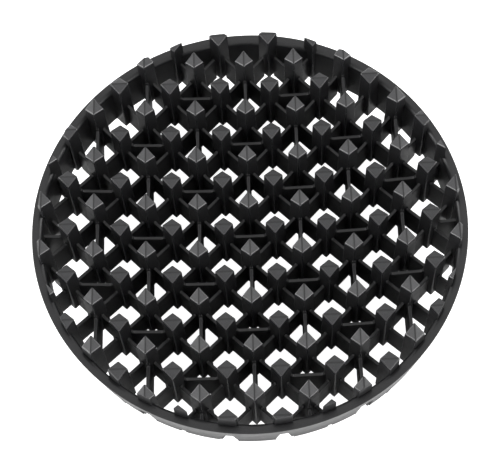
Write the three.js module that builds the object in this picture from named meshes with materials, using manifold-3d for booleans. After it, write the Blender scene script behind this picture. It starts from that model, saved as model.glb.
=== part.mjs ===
// Round flower frog: a shallow dished lattice inside a slanting rim. Thin walls run along
// both diagonals, a gable-topped post stands on every crossing of two walls, and a low rib
// spans every second cell, turned by a quarter from one such cell to the next.
// Millimetres, +Z up, X to the right, Y to the back. The origin is the centre of the level
// foot under the middle of the dish.
// The two sets of walls are halved into each other at the posts: a wall of the first set
// carries the upper part of its posts, a wall of the second set the lower part.
import * as THREE from "three";
import { mergeVertices } from "three/addons/utils/BufferGeometryUtils.js";
import Module from "manifold-3d";

const wasm = await Module();
wasm.setup();

// ---- driving dimensions ----
const P = 9.02; // half the distance between two posts of a row: the unit of the grid
const GRID = 9; // posts looked for this many units out, walls up to this line
const DISH = 0.0123 / P; // rise of every level per squared radius, 1/mm
const FOOT = Math.sqrt(5) * P; // the underside is level inside this radius
const GAP = 0.3; // clearance between neighbouring pieces

const POST_HEIGHT = 2.826 * P; // ridge above the underside
const POST_TOP = 0.36 * P; // centre to corner
const POST_BASE = 0.43 * P;
const GABLE_SLOPE = 0.2 / 0.36; // fall of each facet away from the ridge
const LAP_HEIGHT = 0.7 * P; // where a post is divided between its two walls

const WALL_HEIGHT = 1.405 * P;
const WALL_THICKNESS = 0.13 * P;
const RIB_HEIGHT = 1.589 * P;
const RIB_THICKNESS = 0.14 * P;

const RIM_TOP = 2.78 * P;
const RIM_BOTTOM = 0.71 * P;
const RIM_RADIUS = 8.446 * P; // outer edge of the flat top: the widest place
const RIM_FOOT_RADIUS = 8.124 * P; // outside of the slanting skirt at its lower edge
const RIM_INNER_RADIUS = 8.03 * P;
const RIM_ROUND = 0.21 * P; // rounding of the inner top edge
const RIM_STEPS = 72;
const ROUND_STEPS = 3;

const INNER_POSTS = 7.62 * P; // posts inside this radius belong to the walls
const BORDER_POSTS = 8.1 * P; // those from there to here stand on the rim
const POCKET_POSTS = 8 * P; // beyond this radius the border posts are hollow below
const BORDER_TRIM = 8.15 * P; // border posts are cut off along this radius
const POCKET_TOP = 2.08 * P;
const POCKET_FOOT_REACH = 0.34 * P; // centre to corner of the hollow, at its foot
const POCKET_TOP_REACH = 0.29 * P;
const NOTCH_REACH = 0.42 * P; // the hollow is wider in the outer half of the rim
const NOTCH_RADIUS = 8.09 * P;
const END_POST = [2.8 * P, 7.79 * P]; // the cut-off posts closing eight of the wall lines
const END_TRIM = 8.12 * P;
const NICK_REACH = 0.26 * P; // small nick in the skirt under each of those
const RIM_RIB_CELLS = [13, 16, 17]; // squared distance, in cells, of the ribs on the rim
const NICK_TOP = 1.09 * P;

const COLOUR = 0x17181a;
const ROUGHNESS = 0.38;

// ---- solids ----

function solid(geometry) {
  const loose = geometry.index ? geometry.toNonIndexed() : geometry;
  const bare = new THREE.BufferGeometry();
  bare.setAttribute("position", loose.getAttribute("position"));
  const merged = mergeVertices(bare, 1e-4);
  return new wasm.Manifold(
    new wasm.Mesh({
      numProp: 3,
      vertProperties: new Float32Array(merged.attributes.position.array),
      triVerts: new Uint32Array(merged.index.array),
    }),
  );
}

// The plain triangles of a solid.
function loose(shape) {
  const mesh = shape.getMesh();
  const position = [];
  for (const index of mesh.triVerts) {
    const start = index * mesh.numProp;
    position.push(...mesh.vertProperties.slice(start, start + 3));
  }
  const geometry = new THREE.BufferGeometry();
  geometry.setAttribute("position", new THREE.Float32BufferAttribute(position, 3));
  return geometry;
}

function drum(radius, from, to) {
  const geometry = new THREE.CylinderGeometry(radius, radius, to - from, RIM_STEPS);
  geometry.rotateX(Math.PI / 2);
  geometry.translate(0, 0, (from + to) / 2);
  return solid(geometry);
}

// A flat outline in (length, height) stood upright along X, centred on its thickness.
function upright(outline, thickness) {
  const options = { depth: thickness, bevelEnabled: false };
  const geometry = new THREE.ExtrudeGeometry(new THREE.Shape(outline), options);
  geometry.translate(0, 0, -thickness / 2);
  geometry.rotateX(Math.PI / 2);
  return geometry;
}

// ---- levels of the dish ----

function level(x, y) {
  return DISH * (x * x + y * y - FOOT * FOOT);
}

function underside(x, y) {
  return Math.max(level(x, y), 0);
}

// ---- posts ----

function spot(x, y, ridgeAlongX) {
  const ridgeAngle = ridgeAlongX ? 0 : Math.PI / 2;
  const radius = Math.hypot(x, y);
  return { x, y, radius, level: level(x, y), turn: 0, ridgeAngle };
}

// The same post as met in the frame of a wall that is turned by angle and whose middle
// lies at foot.
function metBy(post, angle, foot) {
  const at = new THREE.Vector2(post.x, post.y).sub(foot);
  at.rotateAround(new THREE.Vector2(), -angle);
  return { ...post, x: at.x, y: at.y, turn: -angle };
}

function postReach(post, z) {
  return POST_BASE + ((POST_TOP - POST_BASE) * (z - post.level)) / POST_HEIGHT;
}

function prism(post, low, high, from, to) {
  const geometry = new THREE.CylinderGeometry(high, low, to - from, 4);
  geometry.rotateX(Math.PI / 2);
  geometry.rotateZ(post.turn);
  geometry.translate(post.x, post.y, (from + to) / 2);
  return solid(geometry);
}

// A stretch of a post between two levels. Grown, it clears the post by the gap all round.
function stretch(post, from, to, grown = 0) {
  const extra = grown * Math.SQRT2;
  return prism(post, postReach(post, from) + extra, postReach(post, to) + extra, from, to);
}

function gable(post) {
  const ridge = post.level + POST_HEIGHT;
  const wide = 2 * POST_BASE;
  const eave = ridge - wide * GABLE_SLOPE;
  const outline = [
    new THREE.Vector2(-wide, -P),
    new THREE.Vector2(wide, -P),
    new THREE.Vector2(wide, eave),
    new THREE.Vector2(0, ridge),
    new THREE.Vector2(-wide, eave),
  ];
  const bar = upright(outline, 2 * wide);
  bar.rotateZ(post.ridgeAngle - Math.PI / 2 + post.turn);
  bar.translate(post.x, post.y, 0);
  return solid(bar);
}

function toppedPost(post, from) {
  return stretch(post, from, post.level + POST_HEIGHT + 1).intersect(gable(post));
}

function foot(post) {
  return Math.max(post.level, 0);
}

function lap(post) {
  return foot(post) + LAP_HEIGHT;
}

const innerPosts = [];
const borderPosts = [];
for (let m = -GRID; m <= GRID; m += 1) {
  for (let n = -GRID; n <= GRID; n += 1) {
    if ((m + n) % 2 === 0) continue;
    const post = spot(m * P, n * P, n % 2 === 0);
    if (post.radius < INNER_POSTS) innerPosts.push(post);
    else if (post.radius < BORDER_POSTS) borderPosts.push(post);
  }
}

const endPosts = [];
for (const sx of [-1, 1]) {
  for (const sy of [-1, 1]) {
    const [near, far] = END_POST;
    endPosts.push(spot(sx * near, sy * far, true));
    endPosts.push(spot(sx * far, sy * near, false));
  }
}
const rimPosts = [...borderPosts, ...endPosts];

// ---- plates that follow the dish ----

// Drops the points that lie on the straight line between their neighbours.
function corners(points) {
  return points.filter((point, k) => {
    const before = points[k - 1];
    const after = points[k + 1];
    if (!before || !after) return true;
    const a = point.clone().sub(before);
    const b = after.clone().sub(point);
    return Math.abs(a.cross(b)) > 1e-6;
  });
}

// A plate along X through the points whose distances from the dish's axis are given.
function plate(stations, height, thickness) {
  const tops = [];
  const bottoms = [];
  for (const { along, x, y } of stations) {
    bottoms.push(new THREE.Vector2(along, underside(x, y)));
    tops.push(new THREE.Vector2(along, level(x, y) + height));
  }
  const outline = [...corners(bottoms), ...corners(tops).reverse()];
  return solid(upright(outline, thickness));
}

// ---- walls ----

// slant 1 runs to the back right, slant -1 to the front right; line counts the lines.
// The wall is made along X and turned into place.
function wallPlace(slant, line) {
  const angle = (slant * Math.PI) / 4;
  const foot = new THREE.Vector2((-slant * line * P) / 2, (line * P) / 2);
  return { angle, foot };
}

function wall(slant, line) {
  const { angle, foot: middle } = wallPlace(slant, line);
  const stations = [];
  for (let k = -GRID - 4; k <= GRID + 4; k += 2) {
    const along = (k * P) / Math.SQRT2;
    const x = middle.x + along * Math.cos(angle);
    const y = middle.y + along * Math.sin(angle);
    if (Math.hypot(x, y) < 9.5 * P) stations.push({ along, x, y });
  }
  const side = Math.sign(middle.y * Math.cos(angle) - middle.x * Math.sin(angle));
  const insideRim = new THREE.CylinderGeometry(
    RIM_INNER_RADIUS - GAP,
    RIM_INNER_RADIUS - GAP,
    6 * P,
    RIM_STEPS,
  );
  insideRim.rotateX(Math.PI / 2);
  insideRim.translate(0, -side * middle.length(), 2 * P);
  let piece = plate(stations, WALL_HEIGHT, WALL_THICKNESS).intersect(solid(insideRim));
  for (const post of rimPosts) {
    const met = metBy(post, angle, middle);
    if (Math.abs(met.y) < P / 2) piece = piece.subtract(stretch(met, -P, 4 * P, GAP));
  }
  for (const post of innerPosts) {
    const met = metBy(post, angle, middle);
    if (Math.abs(met.y) > P / 2) continue;
    if (slant > 0) {
      piece = piece.subtract(stretch(met, -P, lap(met) + GAP / 2, GAP));
      piece = piece.add(toppedPost(met, lap(met) + GAP / 2));
    } else {
      piece = piece.subtract(stretch(met, lap(met) - GAP / 2, 4 * P, GAP));
      piece = piece.add(stretch(met, foot(met), lap(met) - GAP / 2));
    }
  }
  return piece;
}

// ---- ribs ----

// A rib is made along X and turned into place.
function ribPlace(column, row) {
  const angle = (column + row) % 2 === 0 ? 0 : Math.PI / 2;
  return { angle, foot: new THREE.Vector2(2 * column * P, 2 * row * P) };
}

function rib(column, row, turned = false) {
  const { angle, foot: middle } = ribPlace(column, row);
  const stations = [-P, P].map((along) => {
    const x = middle.x + along * Math.cos(angle);
    const y = middle.y + along * Math.sin(angle);
    return { along, x, y };
  });
  let piece = plate(stations, RIB_HEIGHT, RIB_THICKNESS);
  for (const post of innerPosts) {
    const met = metBy(post, angle, middle);
    if (Math.hypot(met.x, met.y) > 1.5 * P) continue;
    piece = piece.subtract(stretch(met, -P, 4 * P, GAP));
  }
  if (!turned) return piece;
  const inPlace = loose(piece);
  inPlace.rotateZ(angle);
  inPlace.translate(middle.x, middle.y, 0);
  return solid(inPlace);
}

// ---- rim ----

function ring() {
  const profile = [
    [RIM_INNER_RADIUS, RIM_BOTTOM],
    [RIM_FOOT_RADIUS, RIM_BOTTOM],
    [RIM_RADIUS, RIM_TOP],
  ];
  for (let k = 0; k <= ROUND_STEPS; k += 1) {
    const turn = ((Math.PI / 2) * k) / ROUND_STEPS;
    const r = RIM_INNER_RADIUS + RIM_ROUND * (1 - Math.sin(turn));
    profile.push([r, RIM_TOP - RIM_ROUND * (1 - Math.cos(turn))]);
  }
  profile.push(profile[0]);
  const points = profile.map(([r, z]) => new THREE.Vector2(r, z));
  const geometry = new THREE.LatheGeometry(points, RIM_STEPS);
  geometry.rotateX(Math.PI / 2);
  return solid(geometry);
}

// The hollow under a border post, open below and through the skirt.
function pocket(post) {
  const hollow = prism(post, POCKET_FOOT_REACH, POCKET_TOP_REACH, 0, POCKET_TOP);
  const notch = prism(post, NOTCH_REACH, NOTCH_REACH, 0, POCKET_TOP);
  return hollow.add(notch.subtract(drum(NOTCH_RADIUS, -P, 5 * P)));
}

function rimRibs() {
  const ribs = [];
  for (let column = -4; column <= 4; column += 1) {
    for (let row = -4; row <= 4; row += 1) {
      const onRim = RIM_RIB_CELLS.includes(column * column + row * row);
      const insideTheRim = column === 0 || Math.hypot(column, row) * 2 * P > RIM_FOOT_RADIUS;
      const short = Math.abs(row) === 4 && Math.abs(column) === 1;
      if (onRim && (short || !insideTheRim)) ribs.push(rib(column, row, true));
    }
  }
  return wasm.Manifold.union(ribs).intersect(drum(RIM_INNER_RADIUS + GAP, -P, 5 * P));
}

function rim() {
  let piece = ring().add(rimRibs());
  for (const post of borderPosts) {
    const whole = toppedPost(post, foot(post));
    piece = piece.add(whole.intersect(drum(BORDER_TRIM, -P, 5 * P)));
    if (post.radius > POCKET_POSTS) piece = piece.subtract(pocket(post));
  }
  for (const post of endPosts) {
    const trim = drum(END_TRIM, -P, 5 * P);
    piece = piece.add(toppedPost(post, NICK_TOP).intersect(trim));
    piece = piece.subtract(prism(post, NICK_REACH, NICK_REACH, 0, NICK_TOP));
  }
  return piece;
}

// ---- the assembly ----

const model = new THREE.Group();
model.name = "flower_frog";

function addPiece(name, shape, place) {
  const geometry = loose(shape);
  geometry.computeVertexNormals();
  const material = new THREE.MeshStandardMaterial({
    name: "black_plastic",
    color: COLOUR,
    roughness: ROUGHNESS,
    metalness: 0,
  });
  const part = new THREE.Mesh(geometry, material);
  part.name = name;
  if (place) {
    part.rotation.z = place.angle;
    part.position.set(place.foot.x, place.foot.y, 0);
  }
  model.add(part);
}

addPiece("rim_ring", rim());
for (let line = -GRID; line <= GRID; line += 2) {
  const number = (line + GRID) / 2 + 1;
  addPiece("wall_a" + number, wall(1, line), wallPlace(1, line));
  addPiece("wall_b" + number, wall(-1, line), wallPlace(-1, line));
}
for (let column = -3; column <= 3; column += 1) {
  for (let row = -3; row <= 3; row += 1) {
    if (column * column + row * row > 10) continue;
    const name = "rib_" + (column + 4) + "_" + (row + 4);
    addPiece(name, rib(column, row), ribPlace(column, row));
  }
}

export default model;
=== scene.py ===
"""Looks of the round flower frog: a black moulded lattice dish of walls, posts and ribs
inside a slanting rim, on a white ground under soft light."""
import math

import bmesh
import bpy
from mathutils import Matrix, Vector


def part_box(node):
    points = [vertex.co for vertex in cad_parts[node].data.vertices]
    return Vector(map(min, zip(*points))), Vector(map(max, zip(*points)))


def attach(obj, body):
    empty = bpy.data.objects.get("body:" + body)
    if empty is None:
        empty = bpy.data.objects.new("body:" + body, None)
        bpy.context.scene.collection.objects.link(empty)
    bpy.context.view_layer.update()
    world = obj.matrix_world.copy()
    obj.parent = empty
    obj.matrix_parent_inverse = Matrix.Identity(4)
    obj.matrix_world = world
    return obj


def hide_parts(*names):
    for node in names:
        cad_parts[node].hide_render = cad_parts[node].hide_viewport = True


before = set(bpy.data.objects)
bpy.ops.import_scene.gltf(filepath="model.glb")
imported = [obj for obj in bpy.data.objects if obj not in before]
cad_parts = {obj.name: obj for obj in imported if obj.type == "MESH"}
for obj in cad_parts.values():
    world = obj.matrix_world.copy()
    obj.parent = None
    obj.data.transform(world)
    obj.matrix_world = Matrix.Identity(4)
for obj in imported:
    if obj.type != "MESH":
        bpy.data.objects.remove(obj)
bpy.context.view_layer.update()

# ---- sizes, in metres, all from the width of the CAD rim ----
RIM_IN_UNITS = 8.446
LOW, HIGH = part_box("rim_ring")
P = (HIGH[0] - LOW[0]) / 2 / RIM_IN_UNITS  # half the distance between posts of a row
MM = 0.001

DISH = 0.0123 / P
FOOT = math.sqrt(5) * P
GRID = 9

POST_HEIGHT = 2.826 * P
POST_TOP = 0.385 * P  # a little wider than in the CAD, where the corners aren't rounded
POST_BASE = 0.43 * P
GABLE_SLOPE = 0.2 / 0.36
POST_ROUND = 0.38 * MM
RIDGE_UPRIGHT = 0.88  # rounded faces that point up more than this lie on the ridge

WALL_HEIGHT = 1.405 * P
WALL_THICKNESS = 0.13 * P
RIB_HEIGHT = 1.589 * P
RIB_THICKNESS = 0.14 * P
FOOT_SPREAD = 0.02 * P  # walls and ribs are thicker below by this much on each side
EDGE_ROUND = 0.27 * MM  # rounding along the top of walls and ribs
CORNER_ROUND = 0.75 * MM  # hollow rounding where a wall or rib meets a post
UNDERCUT = 0.06 * MM  # walls and ribs stop this much above the undersides of the posts

RIM_TOP = 2.78 * P
RIM_BOTTOM = 0.71 * P
RIM_RADIUS = RIM_IN_UNITS * P
RIM_FOOT_RADIUS = 8.124 * P
RIM_INNER_RADIUS = 8.03 * P
RIM_ROUND = 0.21 * P
RIM_EDGE = 0.22 * MM
RIM_STEPS = 288

INNER_POSTS = 7.62 * P
BORDER_POSTS = 8.1 * P
POCKET_POSTS = 8 * P
BORDER_TRIM = 8.15 * P
POCKET_TOP = 2.08 * P
POCKET_FOOT_REACH = 0.34 * P  # centre to corner of the hollow in a border post
POCKET_TOP_REACH = 0.29 * P
NOTCH_REACH = 0.42 * P  # the hollow is wider in the outer half of the rim
NOTCH_RADIUS = 8.09 * P
END_POST = (2.8 * P, 7.79 * P)
END_TRIM = 8.12 * P
NICK_REACH = 0.26 * P
NICK_TOP = 1.09 * P
WALL_END = 8.08 * P  # walls run this far, into the rim
POCKET_CLEAR = 0.36 * P  # but stop this far short of the centre of a hollow post
ON_LINE = 0.3 * P  # posts nearer to a wall's line than this stand on it
LONG_GAP = 0.4 * P  # a stretch longer than this follows the dish at its middle too

SATIN_FACE, GRAINED_FACE, POLISHED_FACE = range(3)  # places in every piece's material list
FLAT_ENOUGH = math.radians(38)  # faces that meet at less than this are shaded as one

GRAIN_DEPTH = 0.03 * MM
SLOW_SCALE = 260  # per metre
TINT_SPREAD = 0.3  # how far the grain lightens and darkens the colour


def level(x, y):
    """Height of the dish at a place, against the level foot."""
    return DISH * (x * x + y * y - FOOT * FOOT)


def underside(x, y):
    return max(level(x, y), 0.0)


# ---- materials ----
def link(tree, source, output, target, socket):
    tree.links.new(source.outputs[output], target.inputs[socket])


def plastic(name, colour, roughness, spread, grain, grain_scale, shine=0.5):
    """Moulded plastic: fine grain in height and colour, and a slow change of roughness."""
    material = bpy.data.materials.new(name)
    material.use_nodes = True
    tree = material.node_tree
    shader = tree.nodes["Principled BSDF"]
    shader.inputs["Specular IOR Level"].default_value = shine
    place = tree.nodes.new("ShaderNodeTexCoord")
    slow = tree.nodes.new("ShaderNodeTexNoise")
    slow.inputs["Scale"].default_value = SLOW_SCALE
    slow.inputs["Detail"].default_value = 4
    link(tree, place, "Object", slow, "Vector")
    rough = tree.nodes.new("ShaderNodeMapRange")
    rough.inputs["From Min"].default_value = 0.3
    rough.inputs["From Max"].default_value = 0.7
    rough.inputs["To Min"].default_value = roughness - spread
    rough.inputs["To Max"].default_value = roughness + spread
    link(tree, slow, "Fac", rough, "Value")
    link(tree, rough, "Result", shader, "Roughness")
    fine = tree.nodes.new("ShaderNodeTexNoise")
    fine.inputs["Scale"].default_value = grain_scale
    fine.inputs["Detail"].default_value = 3
    link(tree, place, "Object", fine, "Vector")
    tint = tree.nodes.new("ShaderNodeValToRGB")
    tint.color_ramp.elements[0].position = 0.35
    tint.color_ramp.elements[0].color = (*[(1 - TINT_SPREAD) * c for c in colour], 1)
    tint.color_ramp.elements[1].position = 0.65
    tint.color_ramp.elements[1].color = (*[(1 + TINT_SPREAD) * c for c in colour], 1)
    link(tree, fine, "Fac", tint, "Fac")
    link(tree, tint, "Color", shader, "Base Color")
    bump = tree.nodes.new("ShaderNodeBump")
    bump.inputs["Strength"].default_value = grain
    bump.inputs["Distance"].default_value = GRAIN_DEPTH
    link(tree, fine, "Fac", bump, "Height")
    link(tree, bump, "Normal", shader, "Normal")
    return material


SATIN = plastic("satin_black", (0.015, 0.015, 0.016), 0.33, 0.05, 0.4, 2600)
GRAINED = plastic("grained_black", (0.034, 0.034, 0.036), 0.5, 0.05, 1.0, 3600)
POLISHED = plastic("polished_edge", (0.025, 0.025, 0.027), 0.24, 0.04, 0.15, 2600, 1.0)


# ---- mesh helpers ----
def mesh_object(name, bm):
    bmesh.ops.recalc_face_normals(bm, faces=bm.faces)
    mesh = bpy.data.meshes.new(name)
    bm.to_mesh(mesh)
    bm.free()
    mesh.materials.append(SATIN)
    mesh.materials.append(GRAINED)
    mesh.materials.append(POLISHED)
    piece = bpy.data.objects.new(name, mesh)
    bpy.context.scene.collection.objects.link(piece)
    return piece


def carve(piece, operation, tool):
    """Joins a tool to a piece or cuts it out, and bakes the result into the piece."""
    step = piece.modifiers.new("carve", "BOOLEAN")
    step.operation = operation
    step.solver = "MANIFOLD"
    step.object = tool
    shaped = piece.evaluated_get(bpy.context.evaluated_depsgraph_get())
    mesh = bpy.data.meshes.new_from_object(shaped)
    old = piece.data
    piece.modifiers.clear()
    piece.data = mesh
    bpy.data.meshes.remove(old)
    bpy.data.objects.remove(tool)


def finish_piece(piece, *nodes):
    """Smooth shading that keeps flat faces flat, and the piece's place in the frame."""
    for polygon in piece.data.polygons:
        polygon.use_smooth = True
    piece.data.set_sharp_from_angle(angle=FLAT_ENOUGH)
    even = piece.modifiers.new("even normals", "WEIGHTED_NORMAL")
    even.keep_sharp = True
    even.weight = 90
    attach(piece, "root")
    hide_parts(*nodes)


def add_loft(bm, rings, closed=False):
    """Skins a row of rings with the same number of points, and caps the two ends."""
    made = [[bm.verts.new(point) for point in ring] for ring in rings]
    pairs = list(zip(made, made[1:]))
    if closed:
        pairs.append((made[-1], made[0]))
    for one, two in pairs:
        for k in range(len(one)):
            after = (k + 1) % len(one)
            bm.faces.new((one[k], one[after], two[after], two[k]))
    if not closed:
        bm.faces.new(made[0][::-1])
        bm.faces.new(made[-1])


def arc(centre, radius, start, end, steps):
    """Points on a circle between two angles in degrees."""
    points = []
    for k in range(steps + 1):
        turn = math.radians(start + (end - start) * k / steps)
        points.append((centre[0] + radius * math.cos(turn), centre[1] + radius * math.sin(turn)))
    return points


# ---- posts ----
class Post:
    def __init__(self, x, y, ridge_along_x):
        self.x = x
        self.y = y
        self.ridge_along_x = ridge_along_x
        self.level = level(x, y)
        self.radius = math.hypot(x, y)

    def reach(self, z):
        return POST_BASE + (POST_TOP - POST_BASE) * (z - self.level) / POST_HEIGHT


def grid_posts():
    inner, border = [], []
    for m in range(-GRID, GRID + 1):
        for n in range(-GRID, GRID + 1):
            post = Post(m * P, n * P, n % 2 == 0)
            if (m + n) % 2 == 0 or post.radius > BORDER_POSTS:
                continue
            (inner if post.radius < INNER_POSTS else border).append(post)
    return inner, border


INNER, BORDER = grid_posts()
ENDS = []
for side_x in (-1, 1):
    for side_y in (-1, 1):
        near, far = END_POST
        ENDS.append(Post(side_x * near, side_y * far, True))
        ENDS.append(Post(side_x * far, side_y * near, False))


def add_prism(bm, post, low, high, bottom, top):
    """An upright prism with its corners on the post's own corner lines."""
    signs = ((1, 0), (0, 1), (-1, 0), (0, -1))
    rings = []
    for reach, z in ((low, bottom), (high, top)):
        rings.append([(post.x + reach * sx, post.y + reach * sy, z) for sx, sy in signs])
    add_loft(bm, rings)


def add_post(bm, post, bottom):
    """A tapering four-sided post with a gable top and rounded edges, all shiny but the ridge."""
    ridge = post.level + POST_HEIGHT
    eave = ridge - GABLE_SLOPE * POST_TOP
    eave = ridge - GABLE_SLOPE * post.reach(eave)
    signs = ((1, 0), (0, 1), (-1, 0), (0, -1))
    foot_ring, top_ring = [], []
    for sx, sy in signs:
        on_ridge = (sx != 0) == post.ridge_along_x
        top = ridge if on_ridge else eave
        low, high = post.reach(bottom), post.reach(top)
        foot_ring.append(bm.verts.new((post.x + low * sx, post.y + low * sy, bottom)))
        top_ring.append(bm.verts.new((post.x + high * sx, post.y + high * sy, top)))
    faces = [bm.faces.new(foot_ring[::-1])]
    for k in range(4):
        after = (k + 1) % 4
        faces.append(bm.faces.new((foot_ring[k], foot_ring[after], top_ring[after], top_ring[k])))
    a, b, c, d = top_ring
    if post.ridge_along_x:
        facets = ((a, b, c), (a, c, d))
    else:
        facets = ((b, c, d), (b, d, a))
    for corners in facets:
        facet = bm.faces.new(corners)
        facet.material_index = GRAINED_FACE
        faces.append(facet)
    edges = {edge for face in faces[1:] for edge in face.edges}
    edges -= set(faces[0].edges)
    bmesh.ops.bevel(
        bm, geom=list(edges), offset=POST_ROUND, segments=3, profile=0.5,
        affect="EDGES", clamp_overlap=True, material=POLISHED_FACE,
    )
    bm.normal_update()
    for face in bm.faces:
        if face.material_index == POLISHED_FACE and abs(face.normal.z) > RIDGE_UPRIGHT:
            face.material_index = SATIN_FACE


# ---- walls and ribs ----
def top_section(half, bottom, top):
    """Outline across a plate, from (side, height): square foot, rounded top edges."""
    r = EDGE_ROUND
    right = arc((half - r, top - r), r, 0, 90, 3)
    left = arc((r - half, top - r), r, 90, 180, 3)
    foot = half + FOOT_SPREAD
    return [(-foot, bottom), (foot, bottom), *right, *left]


def add_plate(bm, middle, angle, stations, thickness):
    """A plate that runs through stations of (along, height) above its own middle."""
    run = Vector((math.cos(angle), math.sin(angle)))
    across = Vector((-run.y, run.x))
    rings = []
    for along, height in stations:
        at = middle + along * run
        bottom = underside(at.x, at.y) + UNDERCUT
        outline = top_section(thickness / 2, bottom, level(at.x, at.y) + height)
        rings.append([(*(at + side * across), z) for side, z in outline])
    add_loft(bm, rings)


def rise_to_post(centre, face, height, direction):
    """Stations beside a post, where the top of a plate curves up to meet its face."""
    r = CORNER_ROUND
    curve = arc((face + r, height + r), r, 180, 270, 4)
    return [(centre + direction * along, top) for along, top in curve]


def plate_stations(ends, centres, face, height):
    """Stations of a plate between two ends, rising to every post on the way."""
    stations = []
    for centre in centres:
        stations += rise_to_post(centre, face, height, -1)[::-1]
        stations += rise_to_post(centre, face, height, 1)
    first, last = ends
    kept = [s for s in stations if first < s[0] < last]
    for one, two in list(zip(kept, kept[1:])):
        if two[0] - one[0] > LONG_GAP and one[1] == two[1] == height:
            kept.append(((one[0] + two[0]) / 2, height))
    kept.sort()
    return [(first, kept[0][1]), *kept, (last, kept[-1][1])]


def wall_line(slant, line):
    """Middle, angle, end distance and posts of one wall."""
    angle = slant * math.pi / 4
    middle = Vector((-slant * line * P / 2, line * P / 2))
    end = math.sqrt(WALL_END**2 - middle.length_squared)
    return middle, angle, end


def posts_on(middle, angle, posts):
    run = Vector((math.cos(angle), math.sin(angle)))
    found = []
    for post in posts:
        offset = Vector((post.x, post.y)) - middle
        if abs(offset.cross(run)) < ON_LINE:
            found.append((offset.dot(run), post))
    return sorted(found, key=lambda entry: entry[0])


def make_wall(name, slant, line, with_posts):
    middle, angle, end = wall_line(slant, line)
    on = posts_on(middle, angle, INNER + BORDER)
    if on[-1][1].radius > POCKET_POSTS:
        end = on[-1][0] - POCKET_CLEAR
    face = (POST_BASE + (POST_TOP - POST_BASE) * WALL_HEIGHT / POST_HEIGHT) / math.sqrt(2)
    stations = plate_stations((-end, end), [t for t, _ in on], face, WALL_HEIGHT)
    bm = bmesh.new()
    add_plate(bm, middle, angle, stations, WALL_THICKNESS)
    wall = mesh_object(name, bm)
    if with_posts:
        bm = bmesh.new()
        for _, post in on:
            if post.radius < INNER_POSTS:
                add_post(bm, post, underside(post.x, post.y))
        carve(wall, "UNION", mesh_object("posts", bm))
    return wall


def add_rib(bm, column, row):
    angle = 0.0 if (column + row) % 2 == 0 else math.pi / 2
    middle = Vector((2 * column * P, 2 * row * P))
    face = POST_BASE + (POST_TOP - POST_BASE) * RIB_HEIGHT / POST_HEIGHT
    stations = plate_stations((-P, P), [-P, P], face, RIB_HEIGHT)
    add_plate(bm, middle, angle, stations, RIB_THICKNESS)


# ---- rim ----
def rim_profile():
    """The rim's section, from (radius, height), going round it once."""
    lean = math.degrees(math.atan2(RIM_RADIUS - RIM_FOOT_RADIUS, RIM_TOP - RIM_BOTTOM))
    e = RIM_EDGE
    outer = arc((RIM_RADIUS - 1.15 * e, RIM_TOP - e), e, -lean, 90, 5)
    inner = arc((RIM_INNER_RADIUS + RIM_ROUND, RIM_TOP - RIM_ROUND), RIM_ROUND, 90, 180, 10)
    foot_out = arc((RIM_FOOT_RADIUS - e, RIM_BOTTOM + e), e, -90, -lean, 3)
    return [(RIM_INNER_RADIUS, RIM_BOTTOM), *foot_out, *outer, *inner]


def turned(bm, profile, steps):
    rings = []
    for k in range(steps):
        turn = 2 * math.pi * k / steps
        rings.append([(r * math.cos(turn), r * math.sin(turn), z) for r, z in profile])
    add_loft(bm, rings, closed=True)


def drum(radius):
    bm = bmesh.new()
    rings = []
    for z in (-P, 5 * P):
        ring = []
        for k in range(RIM_STEPS):
            turn = 2 * math.pi * k / RIM_STEPS
            ring.append((radius * math.cos(turn), radius * math.sin(turn), z))
        rings.append(ring)
    add_loft(bm, rings)
    return mesh_object("drum", bm)


def trimmed_posts(posts, radius):
    bm = bmesh.new()
    for post in posts:
        add_post(bm, post, underside(post.x, post.y))
    shape = mesh_object("border posts", bm)
    carve(shape, "INTERSECT", drum(radius))
    return shape


def make_pockets():
    """The hollows under the border posts and the nicks under the cut-off ones."""
    deep = bmesh.new()
    wide = bmesh.new()
    for post in BORDER:
        if post.radius > POCKET_POSTS:
            add_prism(deep, post, POCKET_FOOT_REACH, POCKET_TOP_REACH, 0, POCKET_TOP)
            add_prism(wide, post, NOTCH_REACH, NOTCH_REACH, 0, POCKET_TOP)
    for post in ENDS:
        add_prism(deep, post, NICK_REACH, NICK_REACH, 0, NICK_TOP)
    pockets = mesh_object("pockets", deep)
    notches = mesh_object("notches", wide)
    carve(notches, "DIFFERENCE", drum(NOTCH_RADIUS))
    carve(pockets, "UNION", notches)
    return pockets


def rim_rib_cells():
    """Cells whose rib grows out of the rim or one of its posts."""
    cells = []
    for column in range(-4, 5):
        for row in range(-4, 5):
            steps = column * column + row * row
            if steps == 13 or (abs(column), abs(row)) in ((4, 0), (1, 4)):
                cells.append((column, row))
    return cells


def make_rim(pockets):
    bm = bmesh.new()
    turned(bm, rim_profile(), RIM_STEPS)
    rim = mesh_object("rim", bm)
    bm = bmesh.new()
    for column, row in rim_rib_cells():
        add_rib(bm, column, row)
    ribs = mesh_object("rim ribs", bm)
    carve(ribs, "INTERSECT", drum(WALL_END))
    carve(rim, "UNION", ribs)
    carve(rim, "UNION", trimmed_posts(BORDER, BORDER_TRIM))
    carve(rim, "UNION", trimmed_posts(ENDS, END_TRIM))
    carve(rim, "DIFFERENCE", pockets)
    return rim


# ---- the object ----
finish_piece(make_rim(make_pockets()), "rim_ring")
for line in range(-GRID, GRID + 1, 2):
    number = (line + GRID) // 2 + 1
    rising = make_wall(f"rising_wall_{number}", 1, line, True)
    finish_piece(rising, f"wall_a{number}")
    falling = make_wall(f"falling_wall_{number}", -1, line, False)
    finish_piece(falling, f"wall_b{number}")
for column in range(-3, 4):
    for row in range(-3, 4):
        if column * column + row * row <= 10:
            bm = bmesh.new()
            add_rib(bm, column, row)
            rib = mesh_object(f"low_rib_{column + 4}_{row + 4}", bm)
            finish_piece(rib, f"rib_{column + 4}_{row + 4}")


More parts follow.
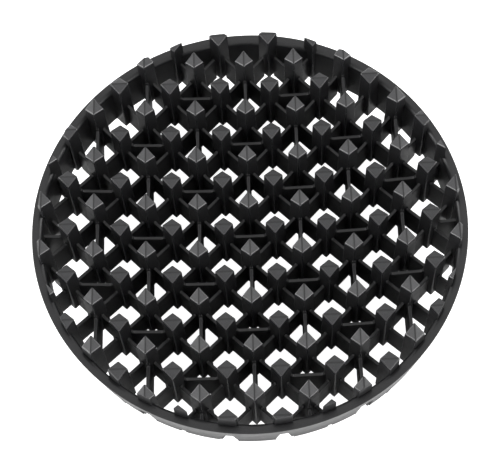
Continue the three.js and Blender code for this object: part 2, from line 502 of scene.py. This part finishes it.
# ---- ground ----
SHEET_RADIUS = 3.0
LIT_DEPTH = -1 * MM  # the two sheets that only light rays meet lie below the seen one
# The sheet under the dish carries painted shadow: its colour runs from SHADE_DARK under the
# middle to PALE at SHADE_RADIUS.
SHADE_DEPTH = -0.5 * MM
SHADE_RADIUS = 8.4 * P
SHADE_START = 5.2 * P
SHADE_DARK = 0.24
PALE = 0.8


def make_ground(name, radius, z, colour, glow):
    """A round sheet of ground with the given brightness."""
    bm = bmesh.new()
    bmesh.ops.create_circle(bm, cap_ends=True, segments=96, radius=radius)
    bmesh.ops.translate(bm, verts=bm.verts, vec=(0, 0, z))
    mesh = bpy.data.meshes.new(name)
    bm.to_mesh(mesh)
    bm.free()
    material = bpy.data.materials.new(name)
    material.use_nodes = True
    shader = material.node_tree.nodes["Principled BSDF"]
    shader.inputs["Base Color"].default_value = (colour, colour, colour, 1)
    shader.inputs["Roughness"].default_value = 0.9
    shader.inputs["Emission Color"].default_value = (1, 1, 1, 1)
    shader.inputs["Emission Strength"].default_value = glow
    mesh.materials.append(material)
    ground = bpy.data.objects.new(name, mesh)
    bpy.context.scene.collection.objects.link(ground)
    return ground


def fade_to_rim(material):
    """Paints shadow into a round sheet: dark in the middle and pale at its edge, standing in for
    the shade under the dish.
    """
    tree = material.node_tree
    shader = tree.nodes["Principled BSDF"]
    place = tree.nodes.new("ShaderNodeTexCoord")
    distance = tree.nodes.new("ShaderNodeVectorMath")
    distance.operation = "LENGTH"
    link(tree, place, "Object", distance, 0)
    fade = tree.nodes.new("ShaderNodeMapRange")
    fade.interpolation_type = "SMOOTHSTEP"
    fade.inputs["From Min"].default_value = SHADE_START
    fade.inputs["From Max"].default_value = SHADE_RADIUS
    fade.inputs["To Min"].default_value = SHADE_DARK
    fade.inputs["To Max"].default_value = PALE
    link(tree, distance, "Value", fade, "Value")
    link(tree, fade, "Result", shader, "Base Color")


# The camera sees an even white sheet. The object is lit from two others that the camera
# can't see: a glowing bright one outside, and one under the dish whose colour is painted shadow.
seen = make_ground("white_ground", SHEET_RADIUS, 0, PALE, 1.0)
seen.visible_diffuse = False
seen.visible_glossy = False
lighting = make_ground("lit_ground", SHEET_RADIUS, LIT_DEPTH, PALE, 0.7)
lighting.visible_camera = False
# painted shadow: a dark sheet where the real ground is only shaded by the dish
shade = make_ground("painted_shadow_ground", SHADE_RADIUS, SHADE_DEPTH, SHADE_DARK, 0.0)
shade.visible_camera = False
fade_to_rim(shade.data.materials[0])


# ---- lights ----
def add_softbox(name, azimuth, elevation, distance, width, height, radiance):
    """A large soft light that faces the dish. Azimuth 0 is at the front, 90 on the right."""
    turn, lift = math.radians(azimuth), math.radians(elevation)
    away = Vector((math.sin(turn), -math.cos(turn), 0)) * math.cos(lift)
    away.z = math.sin(lift)
    light = bpy.data.lights.new(name, "AREA")
    light.shape = "RECTANGLE"
    light.size = width
    light.size_y = height
    light.energy = radiance * math.pi * width * height
    box = bpy.data.objects.new(name, light)
    facing = away.to_track_quat("Z", "Y").to_matrix().to_4x4()
    box.matrix_world = Matrix.Translation(away * distance) @ facing
    bpy.context.scene.collection.objects.link(box)


add_softbox("left_softbox", -104, 23, 1.1, 0.7, 0.75, 3.8)
add_softbox("right_softbox", 104, 23, 1.1, 0.7, 0.75, 3.3)
add_softbox("left_strip", -60, 14, 1.2, 0.5, 0.22, 10.0)
add_softbox("right_strip", 60, 14, 1.2, 0.5, 0.22, 8.0)

world = bpy.data.worlds.new("studio")
world.use_nodes = True
sky = world.node_tree.nodes["Background"]
sky.inputs["Color"].default_value = (1, 1, 1, 1)
sky.inputs["Strength"].default_value = 0.95
bpy.context.scene.world = world
bpy.context.scene.view_settings.view_transform = "Standard"


# ---- camera ----
def make_camera():
    """A long lens, looking down at the dish from the front, turned a little to the left."""
    elevation, azimuth, roll = 1.1549, 0.0421, -0.0785
    distance, focal_pixels = 58.6884 * P, 1524.4162
    slide_right, slide_up = -0.0028 * P, 0.433 * P
    aim = Vector((0, -P, 2.6745 * P))
    back = Vector((
        math.sin(azimuth) * math.cos(elevation),
        -math.cos(azimuth) * math.cos(elevation),
        math.sin(elevation),
    ))
    level_right = Vector((0, 0, 1)).cross(back).normalized()
    level_up = back.cross(level_right)
    right = math.cos(roll) * level_right + math.sin(roll) * level_up
    up = math.cos(roll) * level_up - math.sin(roll) * level_right
    place = aim + distance * back + slide_right * right + slide_up * up
    data = bpy.data.cameras.new("camera")
    data.sensor_width = 36
    data.lens = focal_pixels * data.sensor_width / 500
    data.clip_start = 0.01
    camera = bpy.data.objects.new("camera", data)
    axes = Matrix((right, up, back)).transposed()
    camera.matrix_world = Matrix.Translation(place) @ axes.to_4x4()
    bpy.context.scene.collection.objects.link(camera)
    bpy.context.scene.camera = camera


make_camera()
